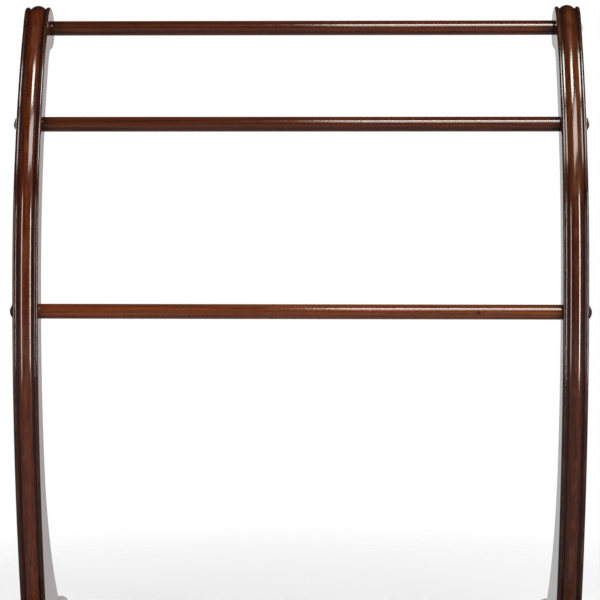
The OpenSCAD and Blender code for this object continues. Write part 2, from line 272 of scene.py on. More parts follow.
def carry(name, path, path_closed, section, section_closed, finish):
    """Carries a section along a path and returns the piece as a plain mesh object."""
    numbers = PLACING_NUMBERS + SURFACE_NUMBERS
    piece = bpy.data.objects.new(name, line_of(name, path, path_closed, vectors=PATH_VECTORS))
    outline = bpy.data.objects.new("section", line_of("section", section, section_closed, numbers=numbers))
    for made in (piece, outline):
        bpy.context.scene.collection.objects.link(made)
    modifier = piece.modifiers.new("Carry", "NODES")
    modifier.node_group = sweep_tree
    set_input(modifier, sweep_tree, "Section", outline)
    set_input(modifier, sweep_tree, "Close the ends", not path_closed)
    set_input(modifier, sweep_tree, "Finish", finish)
    seen = piece.evaluated_get(bpy.context.evaluated_depsgraph_get())
    mesh = bpy.data.meshes.new_from_object(seen)
    piece.modifiers.clear()
    piece.data = mesh
    bpy.data.objects.remove(outline)
    for key in PATH_VECTORS + PLACING_NUMBERS:
        if key in mesh.attributes:
            mesh.attributes.remove(mesh.attributes[key])
    open_edges = tidy_normals(mesh)
    print(name, len(mesh.polygons), "faces,", open_edges, "open edges")
    return piece


# %% [markdown]
# ## Wood under stain and lacquer
#
# The rack is a close-grained hardwood, stained dark reddish brown and sprayed with satin lacquer. What
# the eye reads as wood is several things on top of each other: growth rings that the saw has cut into
# long streaks, fine fibres, short dark pores, and a stain that took unevenly. They are all longer along
# the grain than across it, so one axis is squeezed before a pattern is looked up.
#
# A picture of wood would be quicker, but it repeats, and it doesn't know which way a board was sawn. Here
# a node group works the pattern out from the place in the board, and hands back a colour, a roughness and
# a height. The shader stays in each material.

# %% Helpers for shader groups
def blend(tree, factor, first, second, mode="MIX"):
    """Mixes two colours."""
    options = {"data_type": "RGBA", "blend_type": mode}
    return add(tree, "ShaderNodeMix", options, {0: factor, 6: first, 7: second}).outputs[2]


def fit(tree, value, low, high, to_low=0.0, to_high=1.0):
    """Maps a value from one range to another, and keeps it there."""
    node = add(tree, "ShaderNodeMapRange", {}, {0: value, 1: low, 2: high, 3: to_low, 4: to_high})
    return node.outputs[0]


def number(tree, operation, first, second=0.0):
    """One sum on one or two numbers."""
    return add(tree, "ShaderNodeMath", {"operation": operation}, {0: first, 1: second}).outputs[0]


def stretched(tree, place, along):
    """The place, squeezed along the grain so that a pattern comes out long."""
    squeeze = (1, 1, along)
    return add(tree, "ShaderNodeVectorMath", {"operation": "MULTIPLY"}, {0: place, 1: squeeze}).outputs[0]


def noise(tree, place, scale, detail=2.0, rough=0.5, distortion=0.0):
    """Soft noise from 0 to 1."""
    node = add(tree, "ShaderNodeTexNoise", {}, {
        "Vector": place, "Scale": scale, "Detail": detail, "Roughness": rough, "Distortion": distortion,
    })
    return node.outputs[0]


NOISE_LOW = 0.3
NOISE_HIGH = 0.7


def spread(tree, value, to_low=0.0, to_high=1.0):
    """Noise keeps near its middle. This spreads it over the whole of a range."""
    return fit(tree, value, NOISE_LOW, NOISE_HIGH, to_low, to_high)


# %% The grain at a place
# Each pattern has a squeeze along the grain, and a scale across it in turns to the metre.
WANDER_SQUEEZE, WANDER_SCALE = 0.15, 9.0
STREAK_SQUEEZE, STREAK_SCALE = 0.025, 260.0
FIBRE_SQUEEZE, FIBRE_SCALE = 0.012, 1400.0
PORE_SQUEEZE, PORE_SCALE = 0.03, 1900.0
PATCH_SQUEEZE, PATCH_SCALE = 0.45, 11.0
RING_SQUEEZE = 0.05
WANDER_REACH = (0.02, 0.02, 0.0)
PORE_EDGE = (0.62, 0.72)
FIBRE_RISE = 0.5
STREAK_RISE = 0.6


def grain_at(tree, place):
    """The place after the grain has wandered, and the streaks, fibres and pores there."""
    wander = noise(tree, stretched(tree, place, WANDER_SQUEEZE), WANDER_SCALE)
    wander = times_plus(tree, wander, WANDER_REACH, place)
    streaks = noise(tree, stretched(tree, wander, STREAK_SQUEEZE), STREAK_SCALE, 3.0, 0.6)
    fibres = noise(tree, stretched(tree, place, FIBRE_SQUEEZE), FIBRE_SCALE, 2.0, 0.6)
    pores = fit(tree, noise(tree, stretched(tree, place, PORE_SQUEEZE), PORE_SCALE, 1.0), *PORE_EDGE)
    return wander, streaks, fibres, pores


def relief(tree, streaks, fibres, pores):
    """The wood's own height: its fibres and streaks stand up, and its pores are pits."""
    height = number(tree, "SUBTRACT", number(tree, "MULTIPLY", fibres, FIBRE_RISE), pores)
    return number(tree, "ADD", height, number(tree, "MULTIPLY", streaks, STREAK_RISE))


# %% The wood group
RING_SHARE = 0.8
FIBRE_SHADE = (-0.08, 0.24)
PATCH_EDGE = (0.32, 0.68)
PATCH_DARKEST = 0.55
PORE_STAIN = (0.012, 0.005, 0.003, 1)
PORE_STAIN_SHARE = 0.55
ROUGHNESS_SWING = 0.06
figure_group, figure_in, figure_out = new_group(
    "Wood figure",
    "ShaderNodeTree",
    [
        ("Place", "NodeSocketVector", None),
        ("Light wood", "NodeSocketColor", (0.2, 0.07, 0.03, 1)),
        ("Dark wood", "NodeSocketColor", (0.05, 0.015, 0.008, 1)),
        ("Ring scale", "NodeSocketFloat", 60.0),
        ("Streaks", "NodeSocketFloat", 0.5),
        ("Stain patches", "NodeSocketFloat", 0.35),
        ("Roughness", "NodeSocketFloat", 0.4),
    ],
    [("Color", "NodeSocketColor"), ("Roughness", "NodeSocketFloat"), ("Height", "NodeSocketFloat")],
)
wander, streaks, fibres, pores = grain_at(figure_group, figure_in["Place"])
rings = add(figure_group, "ShaderNodeTexWave", {"wave_type": "RINGS", "rings_direction": "Z"}, {
    "Vector": stretched(figure_group, wander, RING_SQUEEZE),
    "Scale": figure_in["Ring scale"],
    "Distortion": 5.0,
    "Detail": 3.0,
    "Detail Scale": 1.3,
    "Detail Roughness": 0.55,
}).outputs["Fac"]
lightness = add(figure_group, "ShaderNodeMix", {"data_type": "FLOAT"}, {
    0: figure_in["Streaks"],
    2: rings,
    3: spread(figure_group, streaks),
}).outputs[0]
lightness = number(figure_group, "MULTIPLY", lightness, RING_SHARE)
lightness = number(figure_group, "ADD", lightness, spread(figure_group, fibres, *FIBRE_SHADE))
stained = blend(figure_group, lightness, figure_in["Dark wood"], figure_in["Light wood"])

# %% The stain's patches and pores
patches = noise(figure_group, stretched(figure_group, figure_in["Place"], PATCH_SQUEEZE), PATCH_SCALE)
patches = fit(figure_group, patches, *PATCH_EDGE, PATCH_DARKEST, 1.0)
shade = add(figure_group, "ShaderNodeCombineColor", {}, {0: patches, 1: patches, 2: patches}).outputs[0]
patched = blend(figure_group, 1.0, stained, shade, "MULTIPLY")
stained = blend(figure_group, figure_in["Stain patches"], stained, patched)
filled = number(figure_group, "MULTIPLY", pores, PORE_STAIN_SHARE)
stained = blend(figure_group, filled, stained, PORE_STAIN)
figure_group.links.new(stained, figure_out["Color"])

# %% The wood's roughness and height
swing = spread(figure_group, streaks, ROUGHNESS_SWING, -ROUGHNESS_SWING)
rough_wood = number(figure_group, "ADD", figure_in["Roughness"], swing)
figure_group.links.new(rough_wood, figure_out["Roughness"])
figure_group.links.new(relief(figure_group, streaks, fibres, pores), figure_out["Height"])
print("wood figure:", len(figure_group.nodes), "nodes")

# %% [markdown]
# ## Painted shade and wear
#
# The quirks are painted nearly black as shade, and the darkening reaches a little way up the beads beside
# them. The edge beads of the posts are darkened with painted shade, and each rail carries a painted
# shadow at its ends, where it meets a post. The sharp places are rubbed through a little, as hands do.
# The section already knows where those are: it carries a number for the painted shade and one called
# wear. The group breaks both up with noise, so that no line is even.

# %% The painted shade and wear group
BREAK_SQUEEZE, BREAK_SCALE = 0.4, 55.0
HOLLOW_LEAST = 0.72
RUBBED_EDGE = (0.46, 0.66)
shade_and_wear_group, shade_and_wear_in, shade_and_wear_out = new_group(
    "Painted shade and wear",
    "ShaderNodeTree",
    [
        ("Place", "NodeSocketVector", None),
        ("Color", "NodeSocketColor", (0.1, 0.04, 0.02, 1)),
        ("Painted shade colour", "NodeSocketColor", (0.012, 0.004, 0.003, 1)),
        ("Rubbed wood", "NodeSocketColor", (0.26, 0.11, 0.05, 1)),
        ("Rubbing", "NodeSocketFloat", 0.35),
    ],
    [("Color", "NodeSocketColor"), ("Rubbed", "NodeSocketFloat")],
)
# The painted shade that the posts' section and the rails' profiles carry as an attribute, mixed towards the
# dark colour
painted_shade = add(shade_and_wear_group, "ShaderNodeAttribute", {"attribute_name": "painted_shade"}).outputs["Fac"]
worn = add(shade_and_wear_group, "ShaderNodeAttribute", {"attribute_name": "wear"}).outputs["Fac"]
broken = noise(shade_and_wear_group, stretched(shade_and_wear_group, shade_and_wear_in["Place"], BREAK_SQUEEZE), BREAK_SCALE, 4.0, 0.65)
painted_shade = number(shade_and_wear_group, "MULTIPLY", painted_shade, fit(shade_and_wear_group, broken, NOISE_LOW, 0.6, HOLLOW_LEAST, 1.0))
rubbed = number(shade_and_wear_group, "MULTIPLY", worn, shade_and_wear_in["Rubbing"])
rubbed = number(shade_and_wear_group, "MULTIPLY", rubbed, fit(shade_and_wear_group, broken, *RUBBED_EDGE))
tinted = blend(shade_and_wear_group, painted_shade, shade_and_wear_in["Color"], shade_and_wear_in["Painted shade colour"])
tinted = blend(shade_and_wear_group, rubbed, tinted, shade_and_wear_in["Rubbed wood"])
shade_and_wear_group.links.new(tinted, shade_and_wear_out["Color"])
shade_and_wear_group.links.new(rubbed, shade_and_wear_out["Rubbed"])
print("rag and wear:", len(shade_and_wear_group.nodes), "nodes")

# %% [markdown]
# ## One lacquered wood, six stocks
#
# Posts, feet, rails and buttons come out of different boards, so each gets its own material from the
# same function: its own tone, and its own turn of the pattern, so that the grain runs up a post, from
# toe to toe in a foot and along a rail. No two boards are alike: the right post is darker, partly by its
# own tone and partly as painted shade, and near its top it carries a painted golden sheen. The third
# rail is paler, with a pin knot near its right end.
#
# The lacquer is the Principled shader's coat. It is thin, so it follows the grain a little, and it has a
# slow ripple of its own, which keeps a long highlight from looking ruled. It takes its relief from nodes
# in the material and not from the group, whose height is for the wood alone.

# %% A painted sheen on one board, and a knot in another
SHEEN_TINT = (2.2, 3.3, 2.3, 1)
SHEEN_SQUEEZE, SHEEN_SCALE = 0.1, 150.0
SHEEN_SHARE = (0.4, 0.9)
END_GRAIN = (0.008, 0.0024, 0.0015, 1)
KNOT_RADIUS = 0.0021
KNOT_RAGGED = 0.0008
KNOT_SCALE = 500.0
KNOT_DARKNESS = 0.85


def painted_golden_sheen(tree, color, place, spot, heights):
    """Paints a golden sheen onto the wood between four heights: where it starts, is full, is still full and
    ends.
    """
    start, full, still_full, end = heights
    up = add(tree, "ShaderNodeSeparateXYZ", {}, {0: spot}).outputs["Z"]
    amount = number(tree, "MULTIPLY", fit(tree, up, start, full), fit(tree, up, end, still_full))
    streaky = spread(tree, noise(tree, stretched(tree, place, SHEEN_SQUEEZE), SHEEN_SCALE), *SHEEN_SHARE)
    amount = number(tree, "MULTIPLY", amount, streaky)
    return blend(tree, amount, color, blend(tree, 1.0, color, SHEEN_TINT, "MULTIPLY"))


def knotted(tree, color, place, spot, knot):
    """Puts a small dark knot with a ragged edge into the wood."""
    away = add(tree, "ShaderNodeVectorMath", {"operation": "DISTANCE"}, {0: spot, 1: knot}).outputs["Value"]
    ragged = spread(tree, noise(tree, place, KNOT_SCALE), -KNOT_RAGGED, KNOT_RAGGED)
    away = number(tree, "ADD", away, ragged)
    amount = fit(tree, away, 0.5 * KNOT_RADIUS, 2 * KNOT_RADIUS, KNOT_DARKNESS, 0.0)
    return blend(tree, amount, color, END_GRAIN)


# %% The lacquered wood material
SATIN = 0.11
LACQUER_IOR = 1.5
LACQUER = 0.9
UNDER_LACQUER_SHINE = 0.02
LACQUER_LOST = 0.5
END_FACING = (0.5, 0.95)
END_SOAK = 0.85
RELIEF_DEPTH = 0.0002
WOOD_BUMP = 0.12
FILM_BUMP = 0.08
RIPPLE_SCALE = 260.0
GRAIN_IN_FILM = 0.3


def lacquered(name, light, dark, grain, ring_scale, streaks, knot=None, sheen_heights=None, film=LACQUER):
    """Stained wood under satin lacquer, with its grain turned to lie along the piece."""
    along, turn = grain
    material = bpy.data.materials.new(name)
    material.use_nodes = True
    tree = material.node_tree
    tree.nodes.clear()
    spot = add(tree, "ShaderNodeTexCoord").outputs["Object"]
    place = add(tree, "ShaderNodeMapping", {}, {"Vector": spot, "Rotation": turn}).outputs[0]
    figure = add(tree, "ShaderNodeGroup", {"node_tree": figure_group}, {
        "Place": place,
        "Light wood": (*light, 1),
        "Dark wood": (*dark, 1),
        "Ring scale": ring_scale,
        "Streaks": streaks,
    })
    facing = add(tree, "ShaderNodeVectorMath", {"operation": "DOT_PRODUCT"}, {
        0: add(tree, "ShaderNodeNewGeometry").outputs["Normal"],
        1: along,
    }).outputs["Value"]
    thirsty = fit(tree, number(tree, "ABSOLUTE", facing), *END_FACING, 0.0, END_SOAK)
    color = blend(tree, thirsty, figure.outputs["Color"], END_GRAIN)
    if sheen_heights:
        color = painted_golden_sheen(tree, color, place, spot, sheen_heights)
    if knot:
        color = knotted(tree, color, place, spot, knot)
    # The group paints shade into the quirks, onto the edge beads and at the rail ends, and lightens the worn
    # places
    shade_and_wear = add(tree, "ShaderNodeGroup", {"node_tree": shade_and_wear_group}, {"Place": place, "Color": color})
    wood_bump = add(tree, "ShaderNodeBump", {}, {
        "Height": figure.outputs["Height"],
        "Strength": WOOD_BUMP,
        "Distance": RELIEF_DEPTH,
    })
    telegraphed = number(tree, "MULTIPLY", relief(tree, *grain_at(tree, place)[1:]), GRAIN_IN_FILM)
    film_bump = add(tree, "ShaderNodeBump", {}, {
        "Height": number(tree, "ADD", noise(tree, place, RIPPLE_SCALE, 1.0), telegraphed),
        "Strength": FILM_BUMP,
        "Distance": RELIEF_DEPTH,
    })
    lost = number(tree, "MULTIPLY", shade_and_wear.outputs["Rubbed"], LACQUER_LOST)
    shader = add(tree, "ShaderNodeBsdfPrincipled", {}, {
        "Base Color": shade_and_wear.outputs["Color"],
        "Roughness": figure.outputs["Roughness"],
        "Specular IOR Level": UNDER_LACQUER_SHINE,
        "Coat Weight": number(tree, "SUBTRACT", film, lost),
        "Coat Roughness": SATIN,
        "Coat IOR": LACQUER_IOR,
        "Normal": wood_bump.outputs[0],
        "Coat Normal": film_bump.outputs[0],
    })
    output = add(tree, "ShaderNodeOutputMaterial")
    tree.links.new(shader.outputs[0], output.inputs[0])
    print(name, len(tree.nodes), "nodes")
    return material


# %% The stocks for the posts, feet and buttons
GRAIN_UP = ((0, 0, 1), (0, 0, 0))
GRAIN_BACK = ((0, 1, 0), (math.pi / 2, 0, 0))
GRAIN_ACROSS = ((1, 0, 0), (0, math.pi / 2, 0))
POST_RINGS = 42
RAIL_RINGS = 55
BUTTON_RINGS = 90
post_wood = lacquered(
    "post wood", (0.108, 0.0195, 0.0050), (0.020, 0.0042, 0.0018), GRAIN_UP, POST_RINGS, 0.6)
# The right post is darker partly by its own tone and partly as painted shade, and its golden band near the
# top is a painted sheen
dark_and_shaded_post_wood = lacquered(
    "darker and shaded post wood", (0.058, 0.0100, 0.0029), (0.012, 0.0028, 0.0014), GRAIN_UP, POST_RINGS, 0.6,
    sheen_heights=(0.60, 0.70, 0.80, 0.92))
foot_wood = lacquered(
    "foot wood", (0.092, 0.0175, 0.0048), (0.020, 0.0042, 0.0018), GRAIN_BACK, POST_RINGS, 0.6)
button_wood = lacquered(
    "button wood", (0.036, 0.0085, 0.0038), (0.012, 0.0036, 0.0020), GRAIN_UP, BUTTON_RINGS, 0.5,
    film=0.30)

# %% The stocks for the rails
KNOT_X = 0.235
KNOT_DROP = 0.0015
third_low, third_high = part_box("third_rail")
pin_knot = (KNOT_X, third_low.y, (third_low.z + third_high.z) / 2 - KNOT_DROP)
rail_wood = lacquered(
    "rail wood", (0.082, 0.0185, 0.0055), (0.024, 0.0055, 0.0022), GRAIN_ACROSS, RAIL_RINGS, 0.55)
pale_rail_wood = lacquered(
    "paler rail wood", (0.165, 0.0400, 0.0105), (0.050, 0.0120, 0.0036), GRAIN_ACROSS, RAIL_RINGS, 0.55,
    knot=pin_knot)

# %% [markdown]
# ## The posts
#
# Each post is the moulding carried up the bow and round the scroll. Below the belly the rings are level,
# because the post is sawn level where it stands on its foot. Above it they stand square to the bow. Round
# the scroll the back of the section shrinks to the scroll's centre, which fills the round of the scroll
# in the same sweep. Under the scroll the moulding turns off it in a fillet and dies out against the neck.

# %% The moulding's section
EDGE_STEPS = 14
MIDDLE_STEPS = 20


def bead(middle, radius, top, start, stop, steps):
    """Points over a bead, as (height above the shoulder, place across the post)."""
    points = []
    for i in range(steps + 1):
        angle = start + (stop - start) * i / steps
        points.append((top - radius + radius * math.cos(angle), middle + radius * math.sin(angle)))
    return points


edge_radius = EDGE_BEAD_WIDTH / 2
edge_middle = HALF_THICKNESS - edge_radius
quirk_angle = math.acos((QUIRK_HEIGHT - EDGE_BEAD_HEIGHT + edge_radius) / edge_radius)
middle_half = HALF_THICKNESS - EDGE_BEAD_WIDTH - QUIRK_WIDTH
middle_rise = MIDDLE_BEAD_HEIGHT - QUIRK_HEIGHT
middle_radius = (middle_half ** 2 + middle_rise ** 2) / (2 * middle_rise)
middle_angle = math.asin(middle_half / middle_radius)
left_bead = bead(-edge_middle, edge_radius, EDGE_BEAD_HEIGHT, -math.pi / 2, quirk_angle, EDGE_STEPS)
middle_bead = bead(0, middle_radius, MIDDLE_BEAD_HEIGHT, -middle_angle, middle_angle, MIDDLE_STEPS)
right_bead = [(rise, -across) for rise, across in reversed(left_bead)]

# %% The painted shade and wear that the section carries
HOLLOW_DEPTH = 0.0016
HOLLOW_FALL = 1.5
EDGE_BEAD_SHADE = 0.92
CROWN_WEAR = 0.45
CROWN_DEPTH = 0.0008
SIDE_MARGIN = 0.0005
CORNER_STEPS = 4


def front_point(rise, across, crown):
    """A point of the moulding, with how much painted shade it carries and how near the crown of its bead."""
    # Painted shade: dark low in the quirks, fading up the beads beside them, and nearly black on the edge
    # beads
    painted_shade = max(0.0, 1 - (rise - QUIRK_HEIGHT) / HOLLOW_DEPTH) if abs(across) < edge_middle else 0.0
    if abs(across) > middle_half + QUIRK_WIDTH / 2:
        painted_shade = max(painted_shade, EDGE_BEAD_SHADE)
    wear = CROWN_WEAR * max(0.0, 1 - (crown - rise) / CROWN_DEPTH)
    return {"rise": rise, "across": across, "depth": 0.0, "painted_shade": painted_shade ** HOLLOW_FALL, "wear": wear}


def side_and_corner(side):
    """The flat side of the post, with a point near each of its ends, and the corner round to the back."""
    across = side * HALF_THICKNESS
    points = []
    for rise, depth in ((-SIDE_MARGIN, 0.0), (EASED_CORNER + SIDE_MARGIN, 1.0)):
        points.append({"rise": rise, "across": across, "depth": depth, "painted_shade": 0.0, "wear": 0.0})
    for i in range(CORNER_STEPS + 1):
        angle = math.pi / 2 * i / CORNER_STEPS
        points.append({
            "rise": EASED_CORNER * (1 - math.sin(angle)),
            "across": side * (HALF_THICKNESS - EASED_CORNER * (1 - math.cos(angle))),
            "depth": 1.0,
            "painted_shade": 0.0,
            "wear": math.sin(2 * angle),
        })
    return points


moulding = [front_point(rise, across, EDGE_BEAD_HEIGHT) for rise, across in left_bead]
moulding += [front_point(rise, across, MIDDLE_BEAD_HEIGHT) for rise, across in middle_bead]
moulding += [front_point(rise, across, EDGE_BEAD_HEIGHT) for rise, across in right_bead]
moulding += side_and_corner(1) + list(reversed(side_and_corner(-1)))
print("the moulding has", len(moulding), "points; middle bead radius", round(middle_radius * 1000, 2), "mm")


# %% The post's path
def back_y(z):
    """How far back the post's back is, at a height below the belly."""
    if z > SLACK_END_Z:
        return SLACK_CENTRE_Y - math.sqrt(SLACK_RADIUS ** 2 - (LOWER_BOW_Z - z) ** 2)
    return FLARE_Y - math.sqrt(FLARE_RADIUS ** 2 - (FLARE_Z - z) ** 2)


def ring(x, near, far, out):
    """One stop on the path, from places and a direction in the side plane."""
    return {"near": (x, *near), "far": (x, *far), "out": (0, *out), "side": (1, 0, 0)}


LOWER_RINGS = 60
UPPER_RINGS = 56
SCROLL_RINGS = 84
FILLET_RINGS = 30
FILLET_RADIUS = 0.030
FILLET_LAP = 0.003
FILLET_SETBACK = 0.997
FILLET_FADE = 0.7


def post_path(x):
    """Up the lower bow, up the upper bow and round the scroll."""
    stops = []
    for i in range(LOWER_RINGS + 1):
        z = JOINT_Z + (LOWER_BOW_Z - JOINT_Z) * i / LOWER_RINGS
        run = math.sqrt(LOWER_BOW_RADIUS ** 2 - (LOWER_BOW_Z - z) ** 2)
        near = (BELLY_Y + LOWER_BOW_RADIUS - run, z)
        stops.append(ring(x, near, (back_y(z), z), (-LOWER_BOW_RADIUS / run, 0)))
    for i in range(UPPER_RINGS + 1):
        angle = SCROLL_LEAN * i / UPPER_RINGS
        out = Vector((-math.cos(angle), math.sin(angle)))
        centre = Vector((BELLY_Y + UPPER_BOW_RADIUS, UPPER_BOW_Z))
        near = centre + UPPER_BOW_RADIUS * out
        stops.append(ring(x, near, near - POST_DEPTH * out, out))
    scroll = Vector((SCROLL_Y, SCROLL_Z))
    bow = Vector((BELLY_Y + UPPER_BOW_RADIUS, UPPER_BOW_Z))
    back_radius = UPPER_BOW_RADIUS - POST_DEPTH
    apart = (bow - scroll).length
    to_fillet = SCROLL_RADIUS + FILLET_RADIUS
    past_fillet = back_radius - FILLET_RADIUS
    swing = math.acos((apart ** 2 + to_fillet ** 2 - past_fillet ** 2) / (2 * apart * to_fillet))
    last = -SCROLL_LEAN - swing
    for i in range(1, SCROLL_RINGS + 1):
        angle = math.pi - SCROLL_LEAN + (last - math.pi + SCROLL_LEAN) * i / SCROLL_RINGS
        out = Vector((math.cos(angle), math.sin(angle)))
        stops.append(ring(x, scroll + SCROLL_RADIUS * out, scroll, out))
    fillet = scroll + to_fillet * Vector((math.cos(last), math.sin(last)))
    start = last + math.pi
    finish = math.atan2(fillet.y - bow.y, fillet.x - bow.x)
    neck_start = math.pi - SCROLL_LEAN
    for i in range(1, FILLET_RINGS + 1):
        part = i / FILLET_RINGS
        angle = start + (finish - start) * part
        out = -Vector((math.cos(angle), math.sin(angle)))
        neck = neck_start + (finish - neck_start) * part
        far = bow + (back_radius + FILLET_LAP) * Vector((math.cos(neck), math.sin(neck)))
        stop = ring(x, fillet - FILLET_RADIUS * out, far, out * (1 - part) ** FILLET_FADE)
        stop["side"] = (FILLET_SETBACK, 0, 0)
        stops.append(stop)
    return stops


# %% Make the posts
for side, x, stock in (("left", -POST_X, post_wood), ("right", POST_X, dark_and_shaded_post_wood)):
    post = carry(side + "_moulded_post", post_path(x), False, moulding, True, stock)
    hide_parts(side + "_post")
    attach(post, "root")

# %% [markdown]
# ## The rails
#
# A rail is a dowel with its ends eased. On the lathe its profile goes from the middle of one end face,
# out over the eased corner, along the rail and back in at the other end. The path is a circle of
# directions round the rail's own axis. Each end of the profile carries a painted shadow where the rail
# meets its post, and it fades along the rail.

# %% Turning helpers
TURNS = 56
EASE_STEPS = 5


def lathe_path(centre, axis):
    """Directions once round an axis that runs through the centre."""
    first = Vector((0, 1, 0))
    second = axis.cross(first)
    stops = []
    for i in range(TURNS):
        angle = 2 * math.pi * i / TURNS
        out = math.cos(angle) * first + math.sin(angle) * second
        stops.append({"near": tuple(centre), "far": tuple(centre), "out": tuple(out), "side": tuple(axis)})
    return stops


def turned(radius, along, wear=0.0, painted_shade=0.0):
    """A point of a turner's profile."""
    return {"rise": radius, "across": along, "depth": 0.0, "painted_shade": painted_shade, "wear": wear}


def eased(radius, along, ease, way):
    """The eased corner of a turned end: from the end face round to the side."""
    points = []
    for i in range(EASE_STEPS + 1):
        angle = math.pi / 2 * i / EASE_STEPS
        inwards = ease * (1 - math.sin(angle))
        backwards = way * ease * (1 - math.cos(angle))
        points.append(turned(radius - inwards, along - backwards, math.sin(2 * angle)))
    return points


# %% Make the rails
RAIL_EASE = 0.0004
# Painted shadow at a rail's ends where it meets a post: its strength by distance from the end, and its share
# on each rail
RAIL_END_SHADOW = ((0.004, 0.80), (0.010, 0.45), (0.020, 0.0))
END_SHADOW_SHARE = {"top": 1.0, "second": 1.0, "third": 0.35, "stretcher": 0.5}
for rail, share in END_SHADOW_SHARE.items():
    low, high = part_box(rail + "_rail")
    middle = (low + high) / 2
    radius = (high.z - low.z) / 2
    half = (high.x - low.x) / 2
    first_end = [turned(0, -half)] + eased(radius, -half, RAIL_EASE, -1)
    last_end = list(reversed(eased(radius, half, RAIL_EASE, 1))) + [turned(0, half)]
    for point in first_end + last_end:
        point["painted_shade"] = share
    fading = [turned(radius, half - reach, painted_shade=end_shadow * share) for reach, end_shadow in RAIL_END_SHADOW]
    mirrored = [{**point, "across": -point["across"]} for point in fading]
    profile = first_end + mirrored + fading[::-1] + last_end
    stock = pale_rail_wood if rail == "third" else rail_wood
    piece = carry(rail + "_round_rail", lathe_path(middle, Vector((1, 0, 0))), True, profile, False, stock)
    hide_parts(rail + "_rail")
    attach(piece, "root")

# %% [markdown]
# ## The buttons
#
# A button is turned in one piece: a peg that is pushed into the bolt's counterbore, a flat underside, a
# short straight rim and a dome. The same lathe path makes them, pointing outwards on each side.

# %% The button's profile
RIM = 0.002
BUTTON_EASE = 0.0003
RIM_WEAR = 0.3
EDGE_WEAR = 1.0
CROWN_RUB = 0.25
CROWN_STEPS = 4
DOME_STEPS = 14
DOME_CLOSE = 0.97


def button_profile(radius, peg_radius, peg_length, rise):
    """From the end of the peg, out under the button, up the rim and over the dome."""
    dome = rise - RIM
    dome_radius = (radius ** 2 + dome ** 2) / (2 * dome)
    widest = math.asin(radius / dome_radius)
    profile = [turned(0, -peg_length)] + eased(peg_radius, -peg_length, 2 * BUTTON_EASE, -1)
    profile += [
        turned(peg_radius, 0),
        turned(radius - BUTTON_EASE, 0),
        turned(radius, BUTTON_EASE, RIM_WEAR),
        turned(radius, RIM - BUTTON_EASE, RIM_WEAR),
        turned(radius - BUTTON_EASE / 2, RIM + BUTTON_EASE / 3, EDGE_WEAR),
    ]
    for i in range(1, DOME_STEPS + 1):
        angle = widest * (1 - i / DOME_STEPS) * DOME_CLOSE
        drop = dome_radius * (1 - math.cos(angle))
        wear = CROWN_RUB if i > DOME_STEPS - CROWN_STEPS else 0.0
        profile.append(turned(dome_radius * math.sin(angle), rise - drop, wear))
    return profile


# %% Make the buttons
for side, way in (("left", -1), ("right", 1)):
    for rail in END_SHADOW_SHARE:
        node = f"{side}_{rail}_button"
        low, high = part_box(node)
        seat = Vector((way * OUTER_X, (low.y + high.y) / 2, (low.z + high.z) / 2))
        rise = max(abs(low.x), abs(high.x)) - OUTER_X
        peg = OUTER_X - min(abs(low.x), abs(high.x))
        washer_low, washer_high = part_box(f"{side}_{rail}_washer")
        profile = button_profile((high.z - low.z) / 2, (washer_high.z - washer_low.z) / 2, peg, rise)
        path = lathe_path(seat, Vector((way, 0, 0)))
        piece = carry(node + "_turned", path, True, profile, False, button_wood)
        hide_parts(node)
        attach(piece, "root")

# %% [markdown]
# ## The feet
#
# A foot is sawn from a board: its outline is drawn from arcs, cut out, and every arris is eased with a
# block plane. So the mesh is the outline as one flat face, pushed through the thickness of the board,
# with a small bevel round both outlines.

# %% The foot's outline
FOOT_LEDGE = 0.006
TOE_RADIUS = 0.028
SOLE_LENGTH = 0.030
ARCH_RISE = 0.032
INSTEP_STEPS = 26
TOE_STEPS = 24
ARCH_STEPS = 24
joint_front_y = BELLY_Y + LOWER_BOW_RADIUS - math.sqrt(LOWER_BOW_RADIUS ** 2 - (LOWER_BOW_Z - JOINT_Z) ** 2)
joint_half = (back_y(JOINT_Z) - joint_front_y) / 2
shelf_half = joint_half + FOOT_LEDGE
toe_y = foot_high.y - TOE_RADIUS
sole_z = foot_low.z
toe_z = sole_z + TOE_RADIUS
instep_drop = foot_high.z - toe_z
instep_run = toe_y - shelf_half
instep_radius = (instep_run ** 2 + instep_drop ** 2 - TOE_RADIUS ** 2) / (2 * (instep_drop - TOE_RADIUS))
toe_angle = math.atan2(toe_z - foot_high.z + instep_radius, instep_run)
arch_half = toe_y - SOLE_LENGTH
arch_radius = (arch_half ** 2 + ARCH_RISE ** 2) / (2 * ARCH_RISE)
arch_angle = math.asin(arch_half / arch_radius)
print("instep radius", round(instep_radius, 4), "arch radius", round(arch_radius, 4))


def arc(y, z, radius, start, stop, steps):
    """Points round an arc in the side plane."""
    angles = [start + (stop - start) * i / steps for i in range(steps + 1)]
    return [(y + radius * math.cos(angle), z + radius * math.sin(angle)) for angle in angles]


quarter = math.pi / 2
rear_half = arc(shelf_half, foot_high.z - instep_radius, instep_radius, quarter, toe_angle, INSTEP_STEPS)
rear_half += arc(toe_y, toe_z, TOE_RADIUS, toe_angle, -quarter, TOE_STEPS)[1:]
rear_half += arc(0, sole_z + ARCH_RISE - arch_radius, arch_radius, quarter - arch_angle, quarter, ARCH_STEPS)
front_half = [(-y, z) for y, z in reversed(rear_half[:-1])]
foot_outline = rear_half + front_half

# %% Make the feet
FOOT_EASE = 0.0016
EASE_SEGMENTS = 4
WORN_SHARE = 0.8
ON_THE_FACE = 0.0001


